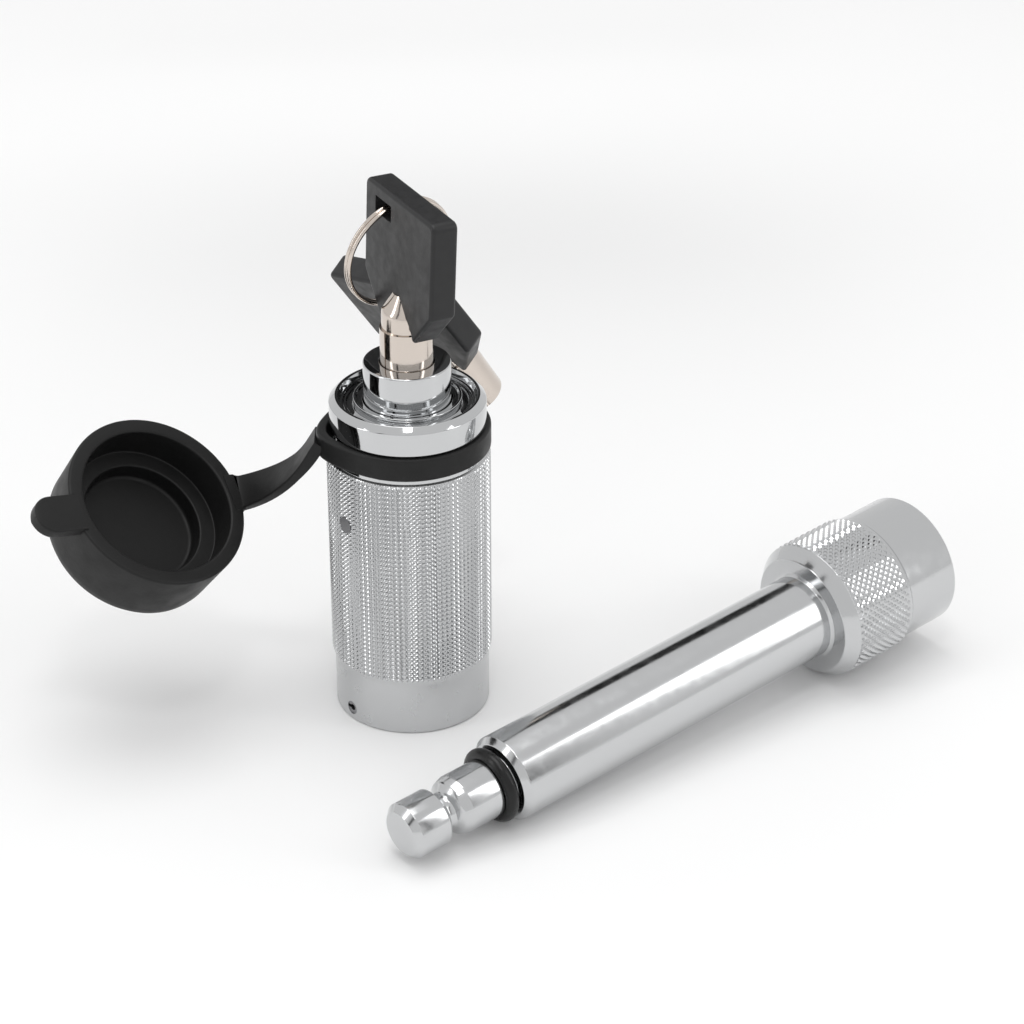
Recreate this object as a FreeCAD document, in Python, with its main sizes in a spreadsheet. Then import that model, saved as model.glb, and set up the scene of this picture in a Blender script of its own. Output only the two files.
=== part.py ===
import FreeCAD, Part
import math
import os
import re

import Sketcher
from FreeCAD import Placement, Rotation, Vector

# Hitch pin lock: a knurled lock barrel with its key, spare key and dust cap, and the hitch pin
# that it locks on to. The barrel stands on its socket end with its axis on Z; the pin lies on
# the same floor, its axis above the X direction. Millimetres and degrees throughout.

SIZES = {
    # barrel, a turned and knurled tube
    "barrel_height": 62.4,
    "collar_r": 14.12,
    "collar_height": 10.35,
    "knurl_r": 14.68,
    "knurl_start": 11.15,
    "knurl_end": 51.35,
    "bore_r": 11.5,
    "strap_groove_start": 52.25,
    "strap_groove_end": 57.0,
    "strap_groove_r": 12.9,
    "bezel_r": 13.98,
    "bezel_chamfer": 1.1,
    "bezel_recess": 1.2,
    "bezel_lip": 0.85,
    "edge_break": 0.4,
    # hitch pin: shank, neck, locking tip and head
    "shank_r": 7.9375,
    "neck_r": 5.41,
    "tip_r": 5.2,
    "tip_chamfer": 1.2,
    "tip_length": 7.25,
    "groove_r": 3.4,
    "groove_start": 8.5,
    "groove_end": 9.8,
    "neck_start": 11.6,
    "shank_start": 21.64,
    "shank_chamfer": 1.1,
    "head_start": 94.6,
    "root_ring_r": 8.6,
    "head_face_r": 11.25,
    "head_knurl_start": 97.2,
    "head_knurl_r": 13.29,
    "head_knurl_end": 110.2,
    "head_rear_r": 12.5,
    "pin_length": 122.5,
    "o_ring_section_r": 1.25,
    "o_ring_r": 6.94,
    "o_ring_station": 19.9,
    "o_ring_seat_play": 0.02,
    "pin_lay_x": -35.2,
    "pin_lay_y": -41.8,
    # socket and ball cage
    "socket_play": 0.21,
    "cage_setback": 0.3,
    "shank_entry": 4.5,
    "seal_squash": 0.15,
    "cage_flange_top": 9.0,
    "cage_tube_r": 7.7,
    "neck_play": 0.14,
    "cage_top": 27.0,
    "ball_r": 2.0,
    "ball_play": 0.05,
    "ball_count": 3,
    "ball_height": 16.5,
    "ball_travel": 1.85,
    # plunger: locking sleeve with the lock cylinder pressed into it
    "plunger_travel": 4.5,
    "slide_play": 0.08,
    "sleeve_bottom": 15.2,
    "sleeve_bore_r": 7.85,
    "web_bottom": 40.0,
    "web_top": 42.3,
    "web_hole_r": 4.2,
    "end_play": 0.05,
    "cylinder_r": 7.8,
    "cylinder_bottom": 45.6,
    "cylinder_top": 68.88,
    "keyway_r": 4.8,
    "chamber_r": 6.0,
    "chamber_top": 64.25,
    # guide bush closing the barrel's top
    "guide_bottom": 54.05,
    "guide_collar_r": 9.67,
    "guide_collar_height": 1.1,
    # stop pin and base pin
    "stop_pin_r": 1.5,
    "stop_pin_height": 40.9,
    "stop_slot_r": 9.5,
    "base_pin_r": 1.3,
    "base_pin_bore_r": 0.6,
    "base_pin_height": 2.4,
    "base_pin_depth_r": 9.3,
    # return spring
    "return_wire_r": 0.6,
    "return_coil_r": 6.6,
    "return_turns": 4.5,
    # latch: eccentric cam, yoke bolt and its groove pair
    "latch_travel": 1.0,
    "latch_thickness": 3.15,
    "latch_play": 0.08,
    "latch_tip_r": 11.2,
    "latch_tongue_width": 4.0,
    "latch_back": 5.4,
    "latch_half_width": 5.0,
    "latch_shoulder": 4.6,
    "window_back": 4.15,
    "window_front": 3.2,
    "window_half_width": 4.05,
    "latch_groove_r": 12.4,
    "latch_groove_play": 0.3,
    "cam_r": 2.9,
    "cam_offset": 1.0,
    "cam_thickness": 2.5,
    "clip_r": 2.8,
    "clip_thickness": 0.5,
    "latch_wire_r": 0.15,
    "latch_coil_r": 1.0,
    "latch_turns": 3.0,
    # pin-tumbler core
    "rotor_bottom": 59.2,
    "rotor_play": 0.05,
    "post_r": 2.95,
    "post_top": 68.3,
    "spindle_r": 2.4,
    "spindle_end_r": 1.5,
    "spindle_end_bottom": 41.1,
    "housing_bottom": 46.0,
    "tumbler_count": 7,
    "tumbler_r": 0.7,
    "tumbler_hole_r": 0.75,
    "tumbler_pitch_r": 3.9,
    "tumbler_hole_bottom": 50.0,
    "driver_length": 3.2,
    "tumbler_play": 0.03,
    "tumbler_wire_r": 0.12,
    "tumbler_coil_r": 0.48,
    "tumbler_turns": 6.0,
    "bitting_step": 0.3,
    "housing_pin_r": 0.8,
    "housing_pin_height": 48.0,
    "housing_pin_depth_r": 3.4,
    # key: tubular blade with a moulded bow
    "key_length": 35.4,
    "blade_r": 4.72,
    "blade_bore_r": 3.08,
    "blade_bore_depth": 9.2,
    "blade_shoulder": 11.3,
    "blade_neck_r": 4.35,
    "blade_dome_start": 14.6,
    "blade_dome_top": 17.8,
    "blade_dome_top_r": 2.2,
    "tongue_r": 1.5,
    "tongue_top": 22.0,
    "lug_width": 1.0,
    "lug_inner_r": 2.5,
    "lug_bottom": 0.4,
    "lug_top": 3.4,
    "lug_play": 0.06,
    "seam_width": 0.3,
    "seam_depth": 0.25,
    "seam_turn": -80.0,
    "bow_width": 24.6,
    "bow_thickness": 5.0,
    "bow_corner": 18.0,
    "bow_tip": 11.1,
    "bow_tip_half": 6.2,
    "bow_arch_top": 15.7,
    "bow_corner_round": 1.4,
    "bow_edge_round": 0.7,
    "bow_slot_centre": -5.57,
    "bow_slot_width": 5.75,
    "bow_slot_height": 3.0,
    "bow_slot_drop": 3.7,
    "bow_lean": 2.2,
    "bow_lean_turn": 60.5,
    "key_turn": -100.0,
    # split ring and spare key
    "split_ring_r": 10.445,
    "split_ring_wire_r": 0.4,
    "split_ring_pitch": 0.85,
    "split_ring_turns": 1.9,
    "split_ring_x": 3.96,
    "split_ring_y": 7.02,
    "split_ring_z": 86.2,
    "split_ring_yaw": -6.8,
    "split_ring_pitch_angle": -9.86,
    "split_ring_roll": 102.31,
    "spare_x": 25.4,
    "spare_y": 11.49,
    "spare_z": 49.58,
    "spare_yaw": 95.38,
    "spare_pitch": 10.54,
    "spare_roll": -32.82,
    # rubber dust cap, its band and its strap
    "band_play": 0.06,
    "band_r": 14.77,
    "band_bottom": 52.5,
    "band_top": 56.75,
    "band_turn": 149.0,
    "band_eye_reach": 17.4,
    "band_eye_width": 8.0,
    "band_eye_shift": 1.3,
    "band_eye_gap_reach": 14.4,
    "band_eye_gap_width": 6.0,
    "strap_width": 6.6,
    "strap_thickness": 1.8,
    "strap_gap": 0.5,
    "strap_rim_gap": 0.9,
    "strap_pull_cap": 6.0,
    "strap_pull_band": 25.3,
    "strap_root_r": 16.88,
    "strap_root_drop": 3.77,
    "strap_root_fall": 57.6,
    "strap_root_twist": 14.9,
    "strap_rim_drop": 0.3,
    "cap_x": -38.64,
    "cap_y": 22.82,
    "cap_z": 44.72,
    "cap_yaw": -4.48,
    "cap_pitch": 11.75,
    "cap_roll": 36.55,
    "cap_depth": 14.0,
    "cap_mouth_r": 16.88,
    "cap_end_r": 16.2,
    "cap_end_round": 3.0,
    "cap_fit": 0.17,
    "cap_shoulder_depth": 6.9,
    "cap_recess_r": 11.0,
    "cap_recess_depth": 10.2,
    "tab_reach": 24.9,
    "tab_root": 15.0,
    "tab_width": 7.2,
    "tab_thickness": 2.4,
    "tab_lift": 0.5,
}

# One bitting depth for each tumbler, in steps of bitting_step.
BITTING = (1, 4, 2, 5, 3, 5, 2)

doc = FreeCAD.newDocument("HitchPinLock")
sheet = doc.addObject("Spreadsheet::Sheet", "Sizes")
for row, (alias, value) in enumerate(SIZES.items(), start=1):
    sheet.set(f"A{row}", alias)
    sheet.set(f"B{row}", str(value))
    sheet.setAlias(f"B{row}", alias)
doc.recompute()

nodes = []


def size(alias):
    """A size as the spreadsheet holds it."""
    return float(sheet.get(alias))


def bind(item, prop, formula):
    """Tie a property to the spreadsheet, with size names written plainly in the formula."""
    def cell(word):
        return "Sizes." + word.group() if word.group() in SIZES else word.group()
    item.setExpression(prop, re.sub(r"[a-z][a-z_]+", cell, formula))


def node(item, label, placement=None):
    """Name a finished sub-part, and put it in its place."""
    item.Label = label
    if placement is not None:
        item.Placement = placement
    nodes.append(item)
    return item


def at(x=0.0, y=0.0, z=0.0, turn=0.0):
    """A place on the barrel's axis system, turned about Z."""
    return Placement(Vector(x, y, z), Rotation(Vector(0, 0, 1), turn))


def along(direction, start):
    """A place whose own Z runs along a direction."""
    return Placement(Vector(*start), Rotation(Vector(0, 0, 1), Vector(*direction)))


def radial(turn, start_r, height):
    """A place whose own Z points outwards from the barrel's axis at an angle round it."""
    outward = Vector(math.cos(math.radians(turn)), math.sin(math.radians(turn)), 0)
    foot = outward * start_r + Vector(0, 0, height)
    return Placement(foot, Rotation(Vector(0, 0, 1), outward))


def cylinder(name, r, length, placement):
    item = doc.addObject("Part::Cylinder", name)
    bind(item, "Radius", r)
    bind(item, "Height", length)
    item.Placement = placement
    return item


def box(name, x, y, z, placement):
    item = doc.addObject("Part::Box", name)
    bind(item, "Length", x)
    bind(item, "Width", y)
    bind(item, "Height", z)
    item.Placement = placement
    return item


def cut(name, base, *tools):
    """The base with each tool taken out of it."""
    item = base
    for index, tool in enumerate(tools, start=1):
        step = doc.addObject("Part::Cut", f"{name}_cut_{index}")
        step.Base = item
        step.Tool = tool
        item = step
    return item


def join(name, *pieces):
    item = doc.addObject("Part::MultiFuse", name)
    item.Shapes = list(pieces)
    return item


def group(name, pieces):
    """Like pieces kept as separate solids in one node."""
    item = doc.addObject("Part::Compound", name)
    item.Links = list(pieces)
    return item


def body_plane(body, role):
    return next(plane for plane in body.Origin.OriginFeatures if plane.Role == role)


def profile(body, name, corners, plane="XZ_Plane"):
    """A closed sketch whose corners are tied to the spreadsheet, one pair of formulas each."""
    sketch = body.newObject("Sketcher::SketchObject", name)
    sketch.AttachmentSupport = (body_plane(body, plane), [""])
    sketch.MapMode = "FlatFace"
    count = len(corners)
    ring = [Vector(10 * math.cos(2 * math.pi * k / count) + 20,
                   10 * math.sin(2 * math.pi * k / count) + 20, 0) for k in range(count)]
    for k in range(count):
        sketch.addGeometry(Part.LineSegment(ring[k], ring[(k + 1) % count]), False)
    for k in range(count):
        sketch.addConstraint(Sketcher.Constraint("Coincident", k, 2, (k + 1) % count, 1))
    for k, (across, up) in enumerate(corners):
        for kind, formula, rest in (("DistanceX", across, ring[k].x), ("DistanceY", up, ring[k].y)):
            if formula == "0":
                axis = -2 if kind == "DistanceX" else -1
                sketch.addConstraint(Sketcher.Constraint("PointOnObject", k, 1, axis))
            else:
                index = sketch.addConstraint(Sketcher.Constraint(kind, -1, 1, k, 1, rest))
                bind(sketch, f"Constraints[{index}]", formula)
    return sketch


def corner_edges(shape, r, z):
    """Names of the circular edges that a turned profile's corner makes."""
    names = []
    for index, edge in enumerate(shape.Edges, start=1):
        curve = edge.Curve
        if isinstance(curve, Part.Circle):
            if abs(curve.Radius - r) < 0.01 and abs(curve.Center.z - z) < 0.01:
                names.append(f"Edge{index}")
    return names


def turned(name, corners, rounds=()):
    """A lathe piece: (radius, height) formulas revolved about Z, then rounded at some corners.

    rounds holds (corner number, radius formula)."""
    body = doc.addObject("PartDesign::Body", name)
    sketch = profile(body, name + "_profile", corners)
    turn = body.newObject("PartDesign::Revolution", name + "_turn")
    turn.Profile = sketch
    turn.ReferenceAxis = (sketch, ["V_Axis"])
    turn.Angle = 360
    doc.recompute()
    spots = [(sketch.Geometry[k].StartPoint.x, sketch.Geometry[k].StartPoint.y) for k in range(len(corners))]
    for index, formula in rounds:
        base = body.Tip
        fillet = body.newObject("PartDesign::Fillet", f"{name}_round_{index}")
        fillet.Base = (base, corner_edges(base.Shape, *spots[index]))
        bind(fillet, "Radius", formula)
        body.Tip = fillet
        doc.recompute()
    return body


def coil(name, r, wire_r, turns, length, placement):
    """A close-ended coil spring standing on its own Z."""
    pitch = (length - 2 * wire_r) / turns
    path = Part.makeLongHelix(pitch, pitch * turns, r)
    start = Vector(r, 0, 0)
    direction = Vector(0, 2 * math.pi * r, pitch)
    section = Part.Wire(Part.makeCircle(wire_r, start, direction))
    shape = Part.Wire(path).makePipeShell([section], True, True)
    item = doc.addObject("Part::Feature", name)
    item.Shape = shape
    item.Placement = placement.multiply(at(z=wire_r))
    return item


# --- Barrel -------------------------------------------------------------------------------

latch_height = "web_top + latch_play / 2"
latch_z = size("web_top") + size("latch_play") / 2
latch_top = f"{latch_height} + latch_thickness + latch_groove_play"
latch_low = f"{latch_height} - latch_groove_play"
socket_r = "shank_r + socket_play"
socket_top = size("shank_entry") + 2 * size("o_ring_section_r") + (
    size("shank_start") - size("o_ring_station") - size("o_ring_section_r")) - size("seal_squash")
guide_top = "barrel_height - bezel_recess - edge_break / 2"

barrel = turned("barrel_body", [
    ("bore_r", "0"),
    ("collar_r", "0"),
    ("collar_r", "collar_height"),
    ("knurl_r", "knurl_start"),
    ("knurl_r", "knurl_end"),
    ("bezel_r", "strap_groove_start - edge_break"),
    ("bezel_r", "strap_groove_start"),
    ("strap_groove_r", "strap_groove_start"),
    ("strap_groove_r", "strap_groove_end"),
    ("bezel_r", "strap_groove_end"),
    ("bezel_r", "barrel_height - bezel_chamfer"),
    ("bezel_r - bezel_chamfer", "barrel_height"),
    ("bezel_r - bezel_chamfer - bezel_lip", "barrel_height - bezel_recess"),
    ("bore_r", "barrel_height - bezel_recess"),
    ("bore_r", latch_top),
    ("latch_groove_r", latch_top),
    ("latch_groove_r", latch_low),
    ("bore_r", latch_low),
    ("bore_r", f"{latch_top} - plunger_travel"),
    ("latch_groove_r", f"{latch_top} - plunger_travel"),
    ("latch_groove_r", f"{latch_low} - plunger_travel"),
    ("bore_r", f"{latch_low} - plunger_travel"),
], rounds=[(1, "edge_break")])
stop_hole = cylinder("stop_pin_hole", "stop_pin_r", "knurl_r", radial(180, size("bore_r") - 2, size("stop_pin_height")))
base_hole = cylinder("base_pin_hole", "base_pin_r", "knurl_r", radial(180, size("bore_r") - 2, size("base_pin_height")))
node(cut("barrel", barrel, stop_hole, base_hole), "barrel")

# --- Guide bush, pressed into the barrel's top ---------------------------------------------

guide = turned("guide_bush_body", [
    ("cylinder_r + slide_play", "guide_bottom"),
    ("bore_r", "guide_bottom"),
    ("bore_r", guide_top),
    ("guide_collar_r", guide_top),
    ("guide_collar_r", f"{guide_top} + guide_collar_height - edge_break / 2"),
    ("guide_collar_r - edge_break / 2", f"{guide_top} + guide_collar_height"),
    ("cylinder_r + slide_play", f"{guide_top} + guide_collar_height"),
])
node(guide, "guide_bush")

# --- Ball cage, the socket that takes the pin's end ----------------------------------------

cage_bore = "neck_r + neck_play"
cage = turned("ball_cage_body", [
    (socket_r, "cage_setback"),
    ("bore_r", "cage_setback"),
    ("bore_r", "cage_flange_top"),
    ("cage_tube_r", "cage_flange_top"),
    ("cage_tube_r", "cage_top"),
    (cage_bore, "cage_top"),
    (cage_bore, "shank_entry + shank_start - o_ring_station + o_ring_section_r - seal_squash"),
    (socket_r, "shank_entry + shank_start - o_ring_station + o_ring_section_r - seal_squash"),
])
ball_turns = [60 + 360 / size("ball_count") * k for k in range(int(size("ball_count")))]
windows = [
    cylinder(f"ball_window_{k}", "ball_r + ball_play", "cage_tube_r", radial(turn, 1, size("ball_height")))
    for k, turn in enumerate(ball_turns, start=1)]
cage_pin_hole = cylinder(
    "cage_pin_hole", "base_pin_r", "bore_r",
    radial(180, size("base_pin_depth_r") - size("end_play"), size("base_pin_height")))
node(cut("ball_cage", cage, cage_pin_hole, *windows), "ball_cage")

ball_open_r = size("neck_r") + size("neck_play") + size("ball_r") + size("ball_play")
for k, turn in enumerate(ball_turns, start=1):
    ball = doc.addObject("Part::Sphere", f"ball_{k}")
    bind(ball, "Radius", "ball_r")
    node(ball, f"locking_ball_{k}", radial(turn, ball_open_r, size("ball_height")))

# --- Cross pins in the barrel wall ---------------------------------------------------------

node(cylinder("stop_pin_rod", "stop_pin_r", "knurl_r - stop_slot_r - edge_break",
              radial(180, size("stop_slot_r") + size("edge_break") / 2, size("stop_pin_height"))), "stop_pin")
base_rod = cylinder("base_pin_rod", "base_pin_r", "collar_r - base_pin_depth_r - edge_break / 2",
                    radial(180, size("base_pin_depth_r"), size("base_pin_height")))
base_rod_bore = cylinder("base_pin_bore", "base_pin_bore_r", "collar_r",
                         radial(180, size("base_pin_depth_r") - 1, size("base_pin_height")))
base_rod_slit = box("base_pin_slit", "base_pin_bore_r", "base_pin_r * 2", "collar_r",
                    radial(180, size("base_pin_depth_r") - 1, size("base_pin_height")))
base_rod_slit.Placement = base_rod_slit.Placement.multiply(at(-size("base_pin_bore_r") / 2, 0, 0))
node(cut("base_pin", base_rod, base_rod_bore, base_rod_slit), "base_pin")

# --- Locking sleeve: its inner cone drives the balls in as the plunger goes down -------------

wedge = "ball_travel / plunger_travel"
wedge_line = (f"(neck_r + neck_play + ball_r + ball_play + {wedge} * ball_height"
              f" + (ball_r + tumbler_play) * sqrt(1 + ({wedge}) ^ 2))")
sleeve_r = "bore_r - slide_play"
sleeve = turned("locking_sleeve_body", [
    (f"{wedge_line} - {wedge} * sleeve_bottom", "sleeve_bottom"),
    (sleeve_r, "sleeve_bottom"),
    (sleeve_r, "guide_bottom - end_play"),
    ("cylinder_r", "guide_bottom - end_play"),
    ("cylinder_r", "web_top"),
    ("web_hole_r", "web_top"),
    ("web_hole_r", "web_bottom"),
    ("sleeve_bore_r", "web_bottom"),
    ("sleeve_bore_r", f"({wedge_line} - sleeve_bore_r) / ({wedge})"),
])
stop_slot = box(
    "stop_slot", "bore_r - stop_slot_r", "2 * (stop_pin_r + slide_play)",
    "plunger_travel + 2 * (stop_pin_r + slide_play)",
    at(-size("bore_r"), -size("stop_pin_r") - size("slide_play"),
       size("stop_pin_height") - size("stop_pin_r") - size("slide_play")))
latch_slot = box(
    "latch_slot", "bore_r", "latch_tongue_width + 2 * latch_play", "latch_thickness + latch_play",
    at(size("latch_shoulder"), -size("latch_tongue_width") / 2 - size("latch_play"), size("web_top")))
node(cut("locking_sleeve", sleeve, stop_slot, latch_slot), "locking_sleeve")

# --- Return spring under the web -------------------------------------------------------------

node(coil("return_coil", size("return_coil_r"), size("return_wire_r"), size("return_turns"),
          size("web_bottom") - size("cage_top") - 2 * size("end_play"),
          at(z=size("cage_top") + size("end_play"))), "return_spring")

# --- Lock cylinder, the plunger's outer shell ------------------------------------------------

shell = turned("lock_cylinder_body", [
    ("chamber_r", "cylinder_bottom"),
    ("cylinder_r", "cylinder_bottom"),
    ("cylinder_r", "cylinder_top"),
    ("keyway_r", "cylinder_top"),
    ("keyway_r", "chamber_top"),
    ("chamber_r", "chamber_top"),
], rounds=[(2, "edge_break / 2")])
shell_pin_hole = cylinder("shell_pin_hole", "housing_pin_r", "cylinder_r",
                          radial(90, size("chamber_r") - 1, size("housing_pin_height")))
node(cut("lock_cylinder", shell, shell_pin_hole), "lock_cylinder")

# --- Tumbler housing and its cross pin -------------------------------------------------------

tumbler_turns = [size("key_turn") + 360 / size("tumbler_count") * (k + 0.5)
                 for k in range(int(size("tumbler_count")))]


def tumbler_places(z):
    r = size("tumbler_pitch_r")
    return [at(r * math.cos(math.radians(turn)), r * math.sin(math.radians(turn)), z) for turn in tumbler_turns]


housing = turned("tumbler_housing_body", [
    ("spindle_r + rotor_play", "housing_bottom"),
    ("chamber_r", "housing_bottom"),
    ("chamber_r", "rotor_bottom - rotor_play"),
    ("spindle_r + rotor_play", "rotor_bottom - rotor_play"),
])
housing_holes = [
    cylinder(f"housing_hole_{k}", "tumbler_hole_r", "rotor_bottom - tumbler_hole_bottom", place)
    for k, place in enumerate(tumbler_places(size("tumbler_hole_bottom")), start=1)]
housing_pin_hole = cylinder("housing_pin_hole", "housing_pin_r", "cylinder_r",
                            radial(90, size("housing_pin_depth_r"), size("housing_pin_height")))
node(cut("tumbler_housing", housing, housing_pin_hole, *housing_holes), "tumbler_housing")
node(cylinder("housing_pin_rod", "housing_pin_r", "cylinder_r - housing_pin_depth_r - edge_break",
              radial(90, size("housing_pin_depth_r"), size("housing_pin_height"))), "housing_pin")

# --- Rotor: tumbler disc, key post and spindle in one turned piece ----------------------------

rotor = turned("rotor_body", [
    ("0", "spindle_end_bottom"),
    ("spindle_end_r", "spindle_end_bottom"),
    ("spindle_end_r", "web_top + cam_thickness + latch_play"),
    ("spindle_r", "web_top + cam_thickness + latch_play"),
    ("spindle_r", "rotor_bottom"),
    ("chamber_r - rotor_play", "rotor_bottom"),
    ("chamber_r - rotor_play", "chamber_top - rotor_play"),
    ("post_r", "chamber_top - rotor_play"),
    ("post_r", "post_top"),
    ("0", "post_top"),
], rounds=[(8, "edge_break")])
rotor_holes = [
    cylinder(f"rotor_hole_{k}", "tumbler_hole_r", "chamber_top - rotor_bottom", place)
    for k, place in enumerate(tumbler_places(size("rotor_bottom")), start=1)]
post_slot = box(
    "post_slot", "post_r", "lug_width + 2 * lug_play", "post_top - chamber_top + rotor_play",
    at(z=size("chamber_top") - size("rotor_play"), turn=size("key_turn")))
post_slot.Placement = post_slot.Placement.multiply(
    at(size("lug_inner_r") - size("lug_play"), -size("lug_width") / 2 - size("lug_play"), 0))
node(cut("rotor", rotor, post_slot, *rotor_holes), "rotor")

# --- Tumblers: key pins in the rotor, drivers and springs in the housing -----------------------

key_end_z = size("chamber_top") + size("end_play")
key_pins = []
for k, (place, depth) in enumerate(zip(tumbler_places(size("rotor_bottom") + size("tumbler_play") / 2), BITTING), 1):
    key_pins.append(cylinder(
        f"key_pin_{k}", "tumbler_r",
        f"chamber_top + end_play - rotor_bottom + {depth} * bitting_step - 2 * tumbler_play", place))
node(group("key_pin_set", key_pins), "key_pins")

driver_foot = size("rotor_bottom") - size("rotor_play") - size("tumbler_play") - size("driver_length")
drivers = [cylinder(f"driver_pin_{k}", "tumbler_r", "driver_length", place)
           for k, place in enumerate(tumbler_places(driver_foot), start=1)]
node(group("driver_pin_set", drivers), "driver_pins")

tumbler_spring_foot = size("tumbler_hole_bottom") + size("tumbler_play")
tumbler_springs = [
    coil(f"tumbler_coil_{k}", size("tumbler_coil_r"), size("tumbler_wire_r"), size("tumbler_turns"),
         driver_foot - size("tumbler_play") - tumbler_spring_foot, place)
    for k, place in enumerate(tumbler_places(tumbler_spring_foot), start=1)]
node(group("tumbler_spring_set", tumbler_springs), "tumbler_springs")

# --- Latch: cam on the spindle's end, clip, yoke bolt and its spring ----------------------------

cam_z = size("web_top") + size("latch_play") / 2
cam_disc = cylinder("cam_disc", "cam_r", "cam_thickness", at(x=-size("cam_offset"), z=cam_z))
cam_bore = cylinder("cam_bore", "spindle_end_r", "cam_thickness", at(z=cam_z))
node(cut("latch_cam", cam_disc, cam_bore), "latch_cam")

clip_disc = cylinder("clip_disc", "clip_r", "clip_thickness", at(z=cam_z - size("clip_thickness") - 0.02))
clip_bore = cylinder("clip_bore", "spindle_end_r", "clip_thickness", at(z=cam_z - size("clip_thickness") - 0.02))
clip_mouth = box("clip_mouth", "clip_r * 2", "spindle_end_r", "clip_thickness",
                 at(0, -size("spindle_end_r") / 2, cam_z - size("clip_thickness") - 0.02))
node(cut("cam_clip", clip_disc, clip_bore, clip_mouth), "cam_clip")

bolt_body = doc.addObject("PartDesign::Body", "latch_bolt_body")
bolt_outline = profile(bolt_body, "latch_bolt_outline", [
    ("0", "0"),
    ("latch_back + latch_shoulder", "0"),
    ("latch_back + latch_shoulder", "latch_half_width - latch_tongue_width / 2"),
    ("latch_back + latch_tip_r", "latch_half_width - latch_tongue_width / 2"),
    ("latch_back + latch_tip_r", "latch_half_width + latch_tongue_width / 2"),
    ("latch_back + latch_shoulder", "latch_half_width + latch_tongue_width / 2"),
    ("latch_back + latch_shoulder", "latch_half_width * 2"),
    ("0", "latch_half_width * 2"),
], plane="XY_Plane")
bolt_pad = bolt_body.newObject("PartDesign::Pad", "latch_bolt_pad")
bolt_pad.Profile = bolt_outline
bind(bolt_pad, "Length", "latch_thickness")
bolt_window = profile(bolt_body, "latch_bolt_window", [
    ("latch_back - window_back", "latch_half_width - window_half_width"),
    ("latch_back + window_front", "latch_half_width - window_half_width"),
    ("latch_back + window_front", "latch_half_width + window_half_width"),
    ("latch_back - window_back", "latch_half_width + window_half_width"),
], plane="XY_Plane")
bolt_pocket = bolt_body.newObject("PartDesign::Pocket", "latch_bolt_pocket")
bolt_pocket.Profile = bolt_window
bolt_pocket.Type = "ThroughAll"
bolt_pocket.Midplane = True
node(bolt_body, "latch_bolt", at(-size("latch_back"), -size("latch_half_width"), latch_z))

latch_spring_start = -size("cylinder_r") + 0.15
latch_spring_length = -size("latch_back") - size("end_play") - latch_spring_start
node(coil("latch_coil", size("latch_coil_r"), size("latch_wire_r"), size("latch_turns"), latch_spring_length,
          along((1, 0, 0), (latch_spring_start, 0, latch_z + size("latch_thickness") / 2))), "latch_spring")

# --- Keys: a tubular blade and a moulded bow, made twice ----------------------------------------

BLADE_OUTSIDE = [
    ("blade_r", "0"),
    ("blade_r", "blade_shoulder"),
    ("blade_neck_r", "blade_shoulder"),
    ("blade_neck_r", "blade_dome_start"),
    ("blade_dome_top_r", "blade_dome_top"),
    ("tongue_r", "blade_dome_top"),
    ("tongue_r", "tongue_top"),
]


lean_turn = math.radians(size("bow_lean_turn"))
lean = Placement(Vector(0, 0, 0), Rotation(Vector(-math.sin(lean_turn), math.cos(lean_turn), 0), size("bow_lean")))


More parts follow.
